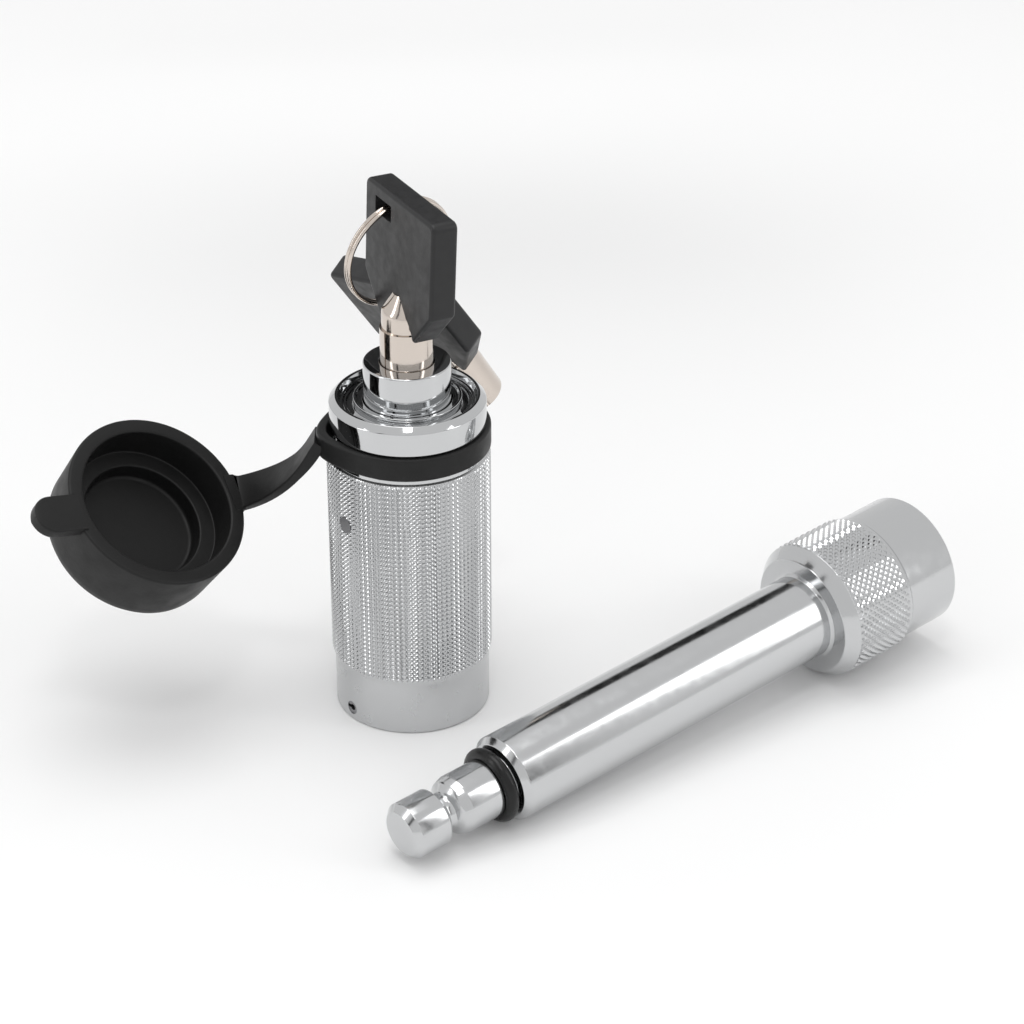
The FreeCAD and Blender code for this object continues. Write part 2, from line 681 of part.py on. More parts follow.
def make_key(name, placement):
    """One key in its own axes: the blade's end at zero, the bow's slot on the -X side.

    The bow is moulded on slightly out of line with the blade."""
    blade = turned(name + "_blade_body", BLADE_OUTSIDE + [
        ("0", "tongue_top"), ("0", "blade_bore_depth"), ("blade_bore_r", "blade_bore_depth"), ("blade_bore_r", "0"),
    ], rounds=[(3, "blade_neck_r / 2")])
    lug = box(name + "_lug", "blade_bore_r - lug_inner_r + edge_break", "lug_width", "lug_top - lug_bottom",
              at(size("lug_inner_r"), -size("lug_width") / 2, size("lug_bottom")))
    blade_lugged = join(name + "_blade_lugged", blade, lug)
    notches = []
    for k, depth in enumerate(BITTING):
        turn = math.radians(360 / size("tumbler_count") * (k + 0.5))
        r = size("tumbler_pitch_r")
        notches.append(cylinder(f"{name}_notch_{k + 1}", "tumbler_r + 2 * tumbler_play",
                                f"{depth} * bitting_step", at(r * math.cos(turn), r * math.sin(turn), 0)))
    seam = box(name + "_seam", "seam_depth * 2", "seam_width", "blade_shoulder", at(turn=size("seam_turn")))
    seam.Placement = seam.Placement.multiply(at(size("blade_r") - size("seam_depth"), -size("seam_width") / 2, 0))
    blade_done = cut(name + "_blade", blade_lugged, seam, *notches)
    node(blade_done, name + "_blade", placement)

    bow = doc.addObject("PartDesign::Body", name + "_bow_body")
    outline = profile(bow, name + "_bow_outline", [
        ("0", "bow_corner"),
        ("bow_width / 2 - bow_tip_half", "bow_tip"),
        ("bow_width / 2 + bow_tip_half", "bow_tip"),
        ("bow_width", "bow_corner"),
        ("bow_width", "key_length"),
        ("0", "key_length"),
    ])
    pad = bow.newObject("PartDesign::Pad", name + "_bow_pad")
    pad.Profile = outline
    bind(pad, "Length", "bow_thickness")
    pad.Midplane = True
    doc.recompute()
    corners = bow.newObject("PartDesign::Fillet", name + "_bow_corners")
    corners.Base = (pad, [
        f"Edge{index}" for index, edge in enumerate(pad.Shape.Edges, start=1)
        if edge.BoundBox.YLength > size("bow_thickness") / 2 and edge.CenterOfMass.z > size("bow_tip") + 1])
    bind(corners, "Radius", "bow_corner_round")
    bow.Tip = corners
    doc.recompute()
    rims = bow.newObject("PartDesign::Fillet", name + "_bow_rims")
    rims.Base = (corners, [
        f"Edge{index}" for index, edge in enumerate(corners.Shape.Edges, start=1)
        if edge.BoundBox.YLength < 0.01 and edge.BoundBox.ZMax > size("bow_tip") + 1])
    bind(rims, "Radius", "bow_edge_round")
    bow.Tip = rims
    bow.Placement = lean.multiply(at(x=-size("bow_width") / 2))
    doc.recompute()
    rise = size("bow_arch_top") - size("bow_tip")
    arch_r = (size("bow_tip_half") ** 2 + rise ** 2) / (2 * rise)
    arch = doc.addObject("Part::Cylinder", name + "_bow_arch")
    bind(arch, "Radius", "(bow_tip_half ^ 2 + (bow_arch_top - bow_tip) ^ 2) / (2 * (bow_arch_top - bow_tip))")
    bind(arch, "Height", "bow_thickness * 2")
    arch.Placement = lean.multiply(along((0, 1, 0), (0, -size("bow_thickness"), size("bow_arch_top") - arch_r)))
    slot = box(name + "_bow_slot", "bow_slot_width", "bow_thickness * 2", "bow_slot_height",
               lean.multiply(at(size("bow_slot_centre") - size("bow_slot_width") / 2, -size("bow_thickness"),
                                size("key_length") - size("bow_slot_drop") - size("bow_slot_height") / 2)))
    core = turned(name + "_blade_core", BLADE_OUTSIDE + [("0", "tongue_top"), ("0", "0")],
                  rounds=[(3, "blade_neck_r / 2")])
    node(cut(name + "_bow", bow, arch, slot, core), name + "_bow", placement)


make_key("key", at(z=key_end_z, turn=size("key_turn")))
make_key("spare_key", Placement(
    Vector(size("spare_x"), size("spare_y"), size("spare_z")),
    Rotation(size("spare_yaw"), size("spare_pitch"), size("spare_roll"))).multiply(lean.inverse()))

# --- Split ring ---------------------------------------------------------------------------------

split_ring_height = size("split_ring_pitch") * size("split_ring_turns") + 2 * size("split_ring_wire_r")
split_ring = coil("split_ring_coil", size("split_ring_r"), size("split_ring_wire_r"), size("split_ring_turns"),
                  split_ring_height, Placement(
                      Vector(size("split_ring_x"), size("split_ring_y"), size("split_ring_z")),
                      Rotation(size("split_ring_yaw"), size("split_ring_pitch_angle"), size("split_ring_roll"))))
split_ring.Placement = split_ring.Placement.multiply(at(z=-split_ring_height / 2))
node(split_ring, "split_ring")

# --- Dust cap with its pull tab -----------------------------------------------------------------------

cap_place = Placement(Vector(size("cap_x"), size("cap_y"), size("cap_z")),
                      Rotation(size("cap_yaw"), size("cap_pitch"), size("cap_roll"))).multiply(
                          at(z=-size("cap_depth")))
cup = turned("dust_cap_cup", [
    ("0", "0"),
    ("cap_end_r", "0"),
    ("cap_mouth_r", "cap_depth"),
    ("bezel_r + cap_fit", "cap_depth"),
    ("bezel_r + cap_fit", "cap_depth - cap_shoulder_depth"),
    ("cap_recess_r", "cap_depth - cap_shoulder_depth"),
    ("cap_recess_r", "cap_depth - cap_recess_depth"),
    ("0", "cap_depth - cap_recess_depth"),
], rounds=[(1, "cap_end_round")])
tab_bar = box("tab_bar", "tab_reach - tab_root - tab_width / 2", "tab_width", "tab_thickness",
              at(-size("tab_reach") + size("tab_width") / 2, -size("tab_width") / 2,
                 size("cap_depth") + size("tab_lift") - size("tab_thickness")))
tab_end = cylinder("tab_end", "tab_width / 2", "tab_thickness",
                   at(-size("tab_reach") + size("tab_width") / 2, 0,
                      size("cap_depth") + size("tab_lift") - size("tab_thickness")))
node(join("dust_cap", cup, tab_bar, tab_end), "dust_cap", cap_place)

# --- Strap: a flat strip lofted from the cap's rim to the band's eye --------------------------------------

cap_axes = Placement(Vector(size("cap_x"), size("cap_y"), size("cap_z")),
                     Rotation(size("cap_yaw"), size("cap_pitch"), size("cap_roll")))
band_turn = math.radians(size("band_turn"))
band_out = Vector(math.cos(band_turn), math.sin(band_turn), 0)
band_side = Vector(math.sin(band_turn), -math.cos(band_turn), 0)
fall = math.radians(size("strap_root_fall"))
twist = math.radians(size("strap_root_twist"))
strap_start = cap_axes.multVec(Vector(size("cap_mouth_r") + size("strap_rim_gap"), 0, -size("strap_rim_drop")))
strap_end = band_out * size("strap_root_r") + Vector(0, 0, size("band_top") - size("strap_root_drop"))
strap_start_pull = cap_axes.Rotation.multVec(Vector(1, 0, 0)) * size("strap_pull_cap")
strap_end_pull = (band_out * -math.cos(fall) + Vector(0, 0, math.sin(fall))) * size("strap_pull_band")
strap_start_side = cap_axes.Rotation.multVec(Vector(0, 1, 0))
strap_end_side = band_side * math.cos(twist) + Vector(0, 0, -math.sin(twist))


def strap_frame(share):
    """The strap's centre, heading, side and upward directions a share of the way along it."""
    rest = 1 - share
    centre = (strap_start * (rest ** 2 * (1 + 2 * share)) + strap_end * (share ** 2 * (3 - 2 * share))
              + strap_start_pull * (share * rest ** 2) - strap_end_pull * (share ** 2 * rest))
    heading = (strap_start * (-6 * share * rest) + strap_end * (6 * share * rest)
               + strap_start_pull * (rest * (1 - 3 * share)) - strap_end_pull * (share * (2 - 3 * share)))
    heading.normalize()
    side = strap_start_side * rest + strap_end_side * share
    side = side - heading * side.dot(heading)
    side.normalize()
    return centre, heading, side, heading.cross(side)


def strap_section(share):
    """The strap's outline across, as a closed wire."""
    centre, heading, side, up = strap_frame(share)
    half_width = side * (size("strap_width") / 2)
    half_thick = up * (size("strap_thickness") / 2)
    corners = [centre + half_width + half_thick, centre - half_width + half_thick,
               centre - half_width - half_thick, centre + half_width - half_thick]
    return Part.makePolygon(corners + [corners[0]])


strap = doc.addObject("Part::Feature", "cap_strap_loft")
strap.Shape = Part.makeLoft([strap_section(k / 12) for k in range(13)], True, True)
node(strap, "cap_strap")

# --- Rubber band round the barrel, with its eye for the strap --------------------------------------

band_height = "band_top - band_bottom"
band_z = size("band_bottom")


def band_piece(name, r, width, reach):
    """A round of the band with a straight-sided eye pulled out towards the strap."""
    round_part = cylinder(name + "_round", r, band_height, at(z=band_z))
    eye = box(name + "_eye", reach, width, band_height, at(z=band_z, turn=size("band_turn")))
    eye.Placement = eye.Placement.multiply(at(y=size("band_eye_shift") - size(width) / 2))
    return join(name, round_part, eye)


# The eye is trimmed square to the strap's end, and flush with the strap's outer face.
root_centre, root_heading, root_side, root_up = strap_frame(1)
if root_up.dot(band_out) < 0:
    root_up = root_up * -1
root_axes = Rotation(root_side, root_up, root_heading, "ZYX")
root_reach = 4 * size("strap_width")
end_trim = box("eye_end_trim", "strap_width * 4", "strap_width * 4", "strap_width * 4",
               Placement(root_centre + root_heading * size("strap_gap"), root_axes).multiply(
                   at(-root_reach / 2, -root_reach / 2, -root_reach)))
face_trim = box("eye_face_trim", "strap_width * 2", "strap_width * 2", "strap_width * 2",
                Placement(root_centre + root_up * (size("strap_thickness") / 2), root_axes).multiply(
                    at(-root_reach / 4, 0, -root_reach / 4)))
eye_side_guard = cylinder("eye_side_guard", "band_r", band_height, at(z=band_z))
band_outer = band_piece("band_outer", "band_r", "band_eye_width", "band_eye_reach")
band_inner = band_piece("band_inner", "strap_groove_r + band_play", "band_eye_gap_width", "band_eye_gap_reach")
band_trimmed = join("band_trimmed", cut("band_eye_trimmed", band_outer, end_trim, face_trim), eye_side_guard)
node(cut("cap_band", band_trimmed, band_inner), "cap_band")

# --- Hitch pin and its O-ring, lying on the floor -----------------------------------------------------------

shank_edge = size("shank_start") + size("shank_chamfer")
pin_tilt = math.degrees(math.asin(
    (size("head_knurl_r") - size("shank_r")) / (size("head_knurl_start") - shank_edge)))
pin_height = size("shank_r") * math.cos(math.radians(pin_tilt)) - shank_edge * math.sin(math.radians(pin_tilt))
pin_place = Placement(Vector(size("pin_lay_x"), size("pin_lay_y"), pin_height),
                      Rotation(Vector(0, 1, 0), 90 - pin_tilt))
seat_r = "o_ring_r - 2 * o_ring_section_r - o_ring_seat_play"
pin_body = turned("hitch_pin_body", [
    ("0", "0"),
    ("tip_r - tip_chamfer", "0"),
    ("tip_r", "tip_chamfer"),
    ("tip_r", "tip_length"),
    ("groove_r", "groove_start"),
    ("groove_r", "groove_end"),
    ("neck_r", "neck_start"),
    ("neck_r", "o_ring_station - o_ring_section_r"),
    (seat_r, "o_ring_station - o_ring_section_r"),
    (seat_r, "o_ring_station + o_ring_section_r"),
    ("neck_r", "o_ring_station + o_ring_section_r"),
    ("neck_r", "shank_start"),
    ("shank_r - shank_chamfer", "shank_start"),
    ("shank_r", "shank_start + shank_chamfer"),
    ("shank_r", "head_start - edge_break"),
    ("root_ring_r", "head_start"),
    ("head_face_r", "head_start"),
    ("head_knurl_r", "head_knurl_start"),
    ("head_knurl_r", "head_knurl_end"),
    ("head_rear_r", "head_knurl_end + head_knurl_r - head_rear_r"),
    ("head_rear_r", "pin_length"),
    ("0", "pin_length"),
], rounds=[(4, "edge_break * 2"), (5, "edge_break * 2"), (6, "edge_break * 4"), (20, "edge_break * 1.5")])
node(pin_body, "hitch_pin", pin_place)

o_ring = doc.addObject("Part::Torus", "o_ring")
bind(o_ring, "Radius1", "o_ring_r - o_ring_section_r")
bind(o_ring, "Radius2", "o_ring_section_r")
node(o_ring, "pin_o_ring", pin_place.multiply(at(z=size("o_ring_station"))))

# --- Check every object, then write each sub-part -------------------------------------------------------------

doc.recompute()
for item in doc.Objects:
    if "Invalid" in item.State or "Error" in item.State:
        raise RuntimeError(f"{item.Name} didn't build: {item.State}")
os.makedirs("parts", exist_ok=True)
for item in nodes:
    shape = item.Shape
    if shape.isNull() or not shape.isValid():
        raise RuntimeError(f"{item.Label} has no valid shape")
    shape.exportStep(os.path.join("parts", item.Label + ".step"))
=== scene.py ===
import math
import bmesh
import bpy
from mathutils import Matrix, Vector


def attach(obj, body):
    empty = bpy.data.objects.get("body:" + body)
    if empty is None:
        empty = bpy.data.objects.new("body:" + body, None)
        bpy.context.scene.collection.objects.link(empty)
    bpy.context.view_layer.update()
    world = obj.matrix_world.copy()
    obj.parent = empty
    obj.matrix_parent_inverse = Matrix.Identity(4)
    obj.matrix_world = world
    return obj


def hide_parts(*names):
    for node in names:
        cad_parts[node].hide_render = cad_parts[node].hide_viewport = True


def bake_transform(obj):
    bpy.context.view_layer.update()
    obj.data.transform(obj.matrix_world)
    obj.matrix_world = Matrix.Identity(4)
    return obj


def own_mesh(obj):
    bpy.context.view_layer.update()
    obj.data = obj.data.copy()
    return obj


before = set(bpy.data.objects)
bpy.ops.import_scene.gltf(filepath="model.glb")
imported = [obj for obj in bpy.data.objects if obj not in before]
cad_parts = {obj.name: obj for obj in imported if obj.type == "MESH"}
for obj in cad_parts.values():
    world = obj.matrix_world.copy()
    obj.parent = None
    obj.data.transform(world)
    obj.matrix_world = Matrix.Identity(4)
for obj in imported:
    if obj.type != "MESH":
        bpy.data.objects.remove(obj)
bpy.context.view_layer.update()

# Barrel: a steel tube, turned and bored, with a plain collar below, a groove for the rubber
# band and a bezel with a wide chamfer above. Two grooves in the bore take the latch, and a
# hole in the collar takes the base pin. Plated all over, and polished above the knurling.
MM = 0.001
crease = math.radians(35)
bore_r, collar_r, seat_r, shoulder_r = 11.5, 14.12, 14.36, 13.98
groove_r, chamfer_r, lip_r, lip_foot_r = 12.9, 12.88, 12.35, 11.98
collar_top, seat_low, seat_top, shoulder_up = 10.35, 11.15, 51.35, 51.6
groove_low, groove_top, chamfer_low, bore_top, barrel_top = 52.25, 57.0, 61.3, 61.2, 62.4
latch_r = 12.4
latch_low, latch_top = (42.04, 37.54), (45.79, 41.29)
base_hole_r, base_hole_up, drill_from, drill_to = 1.3, 2.4, -16, -10
polished_from = 51.8


def linear(code):
    """An sRGB hex colour as the linear values the renderer works in."""
    parts = [int(code[k:k + 2], 16) / 255 for k in (0, 2, 4)]
    return [p / 12.92 if p <= 0.04045 else ((p + 0.055) / 1.055) ** 2.4 for p in parts] + [1]


def add(tree, kind, inputs=None, **settings):
    """A node with its settings, and its inputs linked or set."""
    made = tree.nodes.new(kind)
    for name, value in settings.items():
        setattr(made, name, value)
    for key, value in (inputs or {}).items():
        if isinstance(value, bpy.types.NodeSocket):
            tree.links.new(value, made.inputs[key])
        else:
            made.inputs[key].default_value = value
    return made


def finish_of(name, colour, metallic, roughness, spread=0.0, patch=1.0, bump=0.0, pit=1.0, **more):
    """A finish whose roughness wanders by spread in patches, with pits bump deep; sizes in mm."""
    material = bpy.data.materials.new(name)
    material.use_nodes = True
    tree = material.node_tree
    shader = tree.nodes["Principled BSDF"]
    shader.inputs["Base Color"].default_value = linear(colour)
    shader.inputs["Metallic"].default_value = metallic
    shader.inputs["Roughness"].default_value = roughness
    for key, value in more.items():
        shader.inputs[key.replace("_", " ")].default_value = value
    if spread:
        place = add(tree, "ShaderNodeTexCoord").outputs["Object"]
        cloud = add(tree, "ShaderNodeTexNoise", {
            "Vector": place, "Scale": 1 / (patch * MM), "Detail": 4.0})
        wander = add(tree, "ShaderNodeMapRange", {
            "Value": cloud.outputs["Fac"], "From Min": 0.3, "From Max": 0.7,
            "To Min": roughness - spread, "To Max": roughness + spread})
        tree.links.new(wander.outputs["Result"], shader.inputs["Roughness"])
    if bump:
        place = add(tree, "ShaderNodeTexCoord").outputs["Object"]
        pits = add(tree, "ShaderNodeTexNoise", {
            "Vector": place, "Scale": 1 / (pit * MM), "Detail": 3.0})
        relief = add(tree, "ShaderNodeBump", {
            "Height": pits.outputs["Fac"], "Distance": bump * MM, "Strength": 1.0})
        tree.links.new(relief.outputs["Normal"], shader.inputs["Normal"])
    return material


def softened(points, steps=4):
    """Corner points (across, up, radius) with each radius drawn as a small arc."""
    out = []
    count = len(points)
    for k, (x, y, radius) in enumerate(points):
        here = Vector((x, y))
        before = Vector(points[k - 1][:2]) - here
        after = Vector(points[(k + 1) % count][:2]) - here
        if radius <= 0:
            out.append(here)
            continue
        half = before.angle(after) / 2
        reach = min(radius / math.tan(half), 0.49 * before.length, 0.49 * after.length)
        first = here + before.normalized() * reach
        last = here + after.normalized() * reach
        for step in range(steps + 1):
            share = step / steps
            out.append(first.lerp(here, share).lerp(here.lerp(last, share), share))
    return out


def turned(points, around=192):
    """A lathe skin from closed (radius, height, rounding) corners; radius nought is the axis."""
    mesh = bpy.data.meshes.new("turned")
    work = bmesh.new()
    rings = []
    for point in softened(points):
        if point.x < 1e-6:
            rings.append([work.verts.new((0, 0, point.y))])
        else:
            rings.append([work.verts.new((
                point.x * math.cos(2 * math.pi * k / around),
                point.x * math.sin(2 * math.pi * k / around), point.y)) for k in range(around)])
    for k, ring in enumerate(rings):
        after = rings[(k + 1) % len(rings)]
        for j in range(around):
            corners = [ring[j % len(ring)], ring[(j + 1) % len(ring)],
                       after[(j + 1) % len(after)], after[j % len(after)]]
            corners = list(dict.fromkeys(corners))
            if len(corners) > 2:
                work.faces.new(corners)
    bmesh.ops.recalc_face_normals(work, faces=work.faces)
    work.to_mesh(mesh)
    work.free()
    mesh.shade_smooth()
    mesh.set_sharp_from_angle(angle=crease)
    return mesh


def piece(name, mesh, body, finish, nodes=(), place=None):
    """A mesh in millimetres, brought to metres and given its body and finish."""
    mesh.transform(Matrix.Scale(MM, 4) @ (place or Matrix.Identity(4)))
    mesh.name = name
    if not mesh.materials:
        mesh.materials.append(finish)
    made = bpy.data.objects.new(name, mesh)
    bpy.context.scene.collection.objects.link(made)
    if body:
        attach(made, body)
    if nodes:
        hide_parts(*nodes)
    return made


# Satin chrome is blasted before plating: highlights spread wide and soft. Bright chrome is
# polished first: it mirrors the room in sharp light and dark patches.
satin_chrome = finish_of("Satin chrome plate", "C4C5C6", 1.0, 0.26, spread=0.02, patch=10 / 3)
bright_chrome = finish_of("Bright chrome plate", "C8C9CA", 1.0, 0.06, spread=0.02, patch=2)
blank = bpy.data.objects.new("blank", turned([
    (bore_r, 0, 0.1), (collar_r, 0, 0.5), (collar_r, collar_top, 0.15), (seat_r, seat_low, 0),
    (seat_r, seat_top, 0), (shoulder_r, shoulder_up, 0.1), (shoulder_r, groove_low, 0.15),
    (groove_r, groove_low, 0.1), (groove_r, groove_top, 0.1), (shoulder_r, groove_top, 0.15),
    (shoulder_r, chamfer_low, 0.25), (chamfer_r, barrel_top, 0.2), (lip_r, barrel_top, 0.15),
    (lip_foot_r, bore_top, 0.1), (bore_r, bore_top, 0.1),
    (bore_r, latch_top[0], 0), (latch_r, latch_top[0], 0),
    (latch_r, latch_low[0], 0), (bore_r, latch_low[0], 0),
    (bore_r, latch_top[1], 0), (latch_r, latch_top[1], 0),
    (latch_r, latch_low[1], 0), (bore_r, latch_low[1], 0)], 256))
drill = bpy.data.objects.new("drill", turned([
    (0, drill_from, 0), (base_hole_r, drill_from, 0), (base_hole_r, drill_to, 0),
    (0, drill_to, 0)], 48))
drill.matrix_world = (Matrix.Translation((0, 0, base_hole_up))
                      @ Matrix.Rotation(math.pi / 2, 4, "Y"))
cut = blank.modifiers.new("Drilled", "BOOLEAN")
cut.object = drill
for helper in (drill, blank):
    bpy.context.scene.collection.objects.link(helper)
bpy.context.view_layer.update()
tube = bpy.data.meshes.new_from_object(
    blank.evaluated_get(bpy.context.evaluated_depsgraph_get()))
for helper in (drill, blank):
    bpy.data.objects.remove(helper)
tube.shade_smooth()
tube.set_sharp_from_angle(angle=crease)
tube.materials.clear()
tube.materials.append(satin_chrome)
tube.materials.append(bright_chrome)
for face in tube.polygons:
    face.material_index = 1 if face.center.z > polished_from else 0
piece("barrel_tube", tube, "barrel_body", satin_chrome, ["barrel"])

# Barrel knurling: small diamonds rolled into the tube before it is plated, by two families
# of slanting grooves that run out at both ends. A round dimple is left for the stop pin's
# end. The plated flats glint more sharply than satin.
knurl_r, knurl_deep, knurl_teeth, knurl_pitch = 14.68, 0.30, 96.0, 0.893
plug_up, plug_r, plug_sink = 40.9, 1.6, 0.5
whole_diamonds = 500.0
knurl_chrome = finish_of("Chrome plate on knurling", "C8C9CA", 1.0, 0.16,
                         spread=0.03, patch=10 / 9)
knurl = bpy.data.node_groups.new("Diamond knurl", "GeometryNodeTree")
knurl.interface.new_socket("Geometry", in_out="OUTPUT", socket_type="NodeSocketGeometry")
knurl.interface.new_socket("Geometry", in_out="INPUT", socket_type="NodeSocketGeometry")
for label, kind, start in (
        ("Radius", "NodeSocketFloat", 0.01), ("Start", "NodeSocketFloat", 0.0),
        ("End", "NodeSocketFloat", 0.02), ("Depth", "NodeSocketFloat", 0.0003),
        ("Crest", "NodeSocketFloat", 2.6), ("Teeth", "NodeSocketFloat", 60.0),
        ("Pitch", "NodeSocketFloat", 0.001), ("Hole height", "NodeSocketFloat", 0.0),
        ("Hole radius", "NodeSocketFloat", 0.0), ("Points round", "NodeSocketInt", 240),
        ("Points along", "NodeSocketInt", 80)):
    knurl.interface.new_socket(label, in_out="INPUT", socket_type=kind).default_value = start
knurl.interface.new_socket("Finish", in_out="INPUT", socket_type="NodeSocketMaterial")
value = {socket.name: socket for socket in add(knurl, "NodeGroupInput").outputs}
sheet = add(knurl, "GeometryNodeMeshGrid", {
    "Size X": 1.0, "Size Y": 1.0,
    "Vertices X": value["Points round"], "Vertices Y": value["Points along"]})
spot = add(knurl, "ShaderNodeSeparateXYZ", {
    0: add(knurl, "GeometryNodeInputPosition").outputs[0]})
value["x"], value["y"] = spot.outputs["X"], spot.outputs["Y"]
# Each sum is its name, its operation and two terms: a word is an input or an earlier sum.
# The back slant is moved on by whole diamonds, so it stays above nought and looks the same.
for name, operation, first, second in (
        ("turn", "ADD", "x", 0.5),
        ("way up", "ADD", "y", 0.5),
        ("length", "SUBTRACT", "End", "Start"),
        ("rise", "MULTIPLY", "way up", "length"),
        ("level", "ADD", "Start", "rise"),
        ("across", "MULTIPLY", "turn", "Teeth"),
        ("climb", "DIVIDE", "rise", "Pitch"),
        ("left slant", "ADD", "across", "climb"),
        ("left flank", "PINGPONG", "left slant", 0.5),
        ("back slant", "SUBTRACT", "across", "climb"),
        ("right slant", "ADD", "back slant", whole_diamonds),
        ("right flank", "PINGPONG", "right slant", 0.5),
        ("flank", "MINIMUM", "left flank", "right flank"),
        ("steep flank", "MULTIPLY", "flank", "Crest"),
        ("diamond", "MINIMUM", "steep flank", 1.0),
        ("rest", "SUBTRACT", "length", "rise"),
        ("edge", "MINIMUM", "rise", "rest"),
        ("run-out", "DIVIDE", "edge", "Depth"),
        ("fade", "MINIMUM", "run-out", 1.0),
        ("faded diamond", "MULTIPLY", "diamond", "fade"),
        ("height", "MULTIPLY", "faded diamond", "Depth"),
        ("girth", "MULTIPLY", "Radius", 2 * math.pi),
        ("half turn off", "SUBTRACT", "turn", 0.5),
        ("aside", "MULTIPLY", "half turn off", "girth"),
        ("aside squared", "POWER", "aside", 2.0),
        ("above", "SUBTRACT", "level", "Hole height"),
        ("above squared", "POWER", "above", 2.0),
        ("off squared", "ADD", "aside squared", "above squared"),
        ("off", "SQRT", "off squared", 0.0),
        ("in hole", "LESS_THAN", "off", "Hole radius"),
        ("dimple", "MULTIPLY", "in hole", plug_sink * MM),
        ("root", "SUBTRACT", "Radius", "Depth"),
        ("skin", "ADD", "root", "height"),
        ("radius", "SUBTRACT", "skin", "dimple"),
        ("angle", "MULTIPLY", "turn", 2 * math.pi),
        ("cosine", "COSINE", "angle", 0.0),
        ("sine", "SINE", "angle", 0.0),
        ("along x", "MULTIPLY", "radius", "cosine"),
        ("along y", "MULTIPLY", "radius", "sine")):
    value[name] = add(knurl, "ShaderNodeMath", {
        0: value.get(first, first), 1: value.get(second, second)},
        operation=operation).outputs[0]
wrapped = add(knurl, "ShaderNodeCombineXYZ", {
    "X": value["along x"], "Y": value["along y"], "Z": value["level"]})
rolled = add(knurl, "GeometryNodeSetPosition", {
    "Geometry": sheet.outputs["Mesh"], "Position": wrapped.outputs[0]})
sewn = add(knurl, "GeometryNodeMergeByDistance", {
    "Geometry": rolled.outputs[0], "Distance": 0.001 * MM})
real = add(knurl, "GeometryNodeRealizeInstances", {0: sewn.outputs[0]})
coated = add(knurl, "GeometryNodeSetMaterial", {
    "Geometry": real.outputs[0], "Material": value["Finish"]})
add(knurl, "NodeGroupOutput", {0: coated.outputs[0]})


def knurled(finish, **sizes):
    """The knurl tree's result as a plain mesh in millimetres."""
    host = bpy.data.objects.new("knurl_host", bpy.data.meshes.new("knurl_host"))
    bpy.context.scene.collection.objects.link(host)
    modifier = host.modifiers.new("Knurl", "NODES")
    modifier.node_group = knurl
    names = {item.name: item.identifier for item in knurl.interface.items_tree
             if item.in_out == "INPUT"}
    for label, size in sizes.items():
        modifier[names[label.replace("_", " ")]] = size
    modifier[names["Finish"]] = finish
    bpy.context.view_layer.update()
    made = bpy.data.meshes.new_from_object(
        host.evaluated_get(bpy.context.evaluated_depsgraph_get()))
    bpy.data.objects.remove(host)
    made.transform(Matrix.Scale(1 / MM, 4))
    made.shade_flat()
    return made


piece("barrel_knurling", knurled(
    knurl_chrome, Radius=knurl_r * MM, Start=seat_low * MM, End=seat_top * MM,
    Depth=knurl_deep * MM, Teeth=knurl_teeth, Pitch=knurl_pitch * MM,
    Hole_height=plug_up * MM, Hole_radius=plug_r * MM, Points_round=481, Points_along=181),
    "barrel_body", knurl_chrome)

# Guide bush: turned steel, chrome plated and polished, pressed into the barrel's top. Two
# thin raised rings stand round the lock and catch two bright circles of light.
bush_r, bush_low, bush_top, ring_top = 7.88, 54.05, 61.0, 62.1
piece("guide_bush_skin", turned([
    (bush_r, bush_low, 0.1), (bore_r, bush_low, 0.1), (bore_r, bush_top, 0.15),
    (10.9, bush_top, 0.1), (10.75, 60.7, 0.1), (9.75, 60.7, 0.1), (9.67, ring_top, 0.15),
    (9.2, ring_top, 0.15), (9.0, 61.6, 0.1), (7.98, 61.6, 0.15)]),
    "barrel_body", bright_chrome, ["guide_bush"])

# Lock cylinder: turned, polished and chrome plated. It slides in the bush, and the round
# keyway is bored in its top face, with a counterbore from below for the tumblers.
cylinder_r, cylinder_low, cylinder_top = 7.8, 45.6, 68.88
keyway_r, keyway_foot_r, keyway_low, counterbore_r = 4.85, 4.8, 64.25, 6.0
piece("lock_cylinder_skin", turned([
    (counterbore_r, cylinder_low, 0.1), (cylinder_r, cylinder_low, 0.2),
    (cylinder_r, cylinder_top, 0.3), (keyway_r, cylinder_top, 0.25),
    (keyway_foot_r, keyway_low, 0), (counterbore_r, keyway_low, 0)]),
    "plunger", bright_chrome, ["lock_cylinder"])

# Tumblers: a housing pinned inside the lock cylinder holds seven key pins, seven driver pins
# and seven wire springs round the rotor that the key turns. Turned brass is warm and a
# little dull from the tool; plain steel is grey with broad highlights; the rotor is polished.
brass = finish_of("Turned brass", "C9A45C", 1.0, 0.28, spread=0.06, patch=10 / 9)
steel = finish_of("Plain steel", "8E8E90", 1.0, 0.38, spread=0.08, patch=10 / 9)


def dressed(finish, *names):
    """Drawn shapes used as they are: given a finish, welded, and smooth up to their edges."""
    for name in names:
        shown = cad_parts[name]
        shown.data.materials.clear()
        shown.data.materials.append(finish)
        shown.data.shade_smooth()
        weld = shown.modifiers.new("Weld", "WELD")
        weld.merge_threshold = 0.002 * MM
        split = shown.modifiers.new("Edges", "EDGE_SPLIT")
        split.split_angle = math.radians(32)


dressed(bright_chrome, "rotor")
dressed(brass, "tumbler_housing", "key_pins", "driver_pins")
dressed(steel, "housing_pin", "tumbler_springs")

# Latch: a bolt that the cam on the rotor's tail draws in. A clip holds the cam on, and a
# small coil spring pushes the bolt out into the barrel's groove. All of plain steel.
dressed(steel, "latch_bolt", "latch_cam", "cam_clip", "latch_spring")

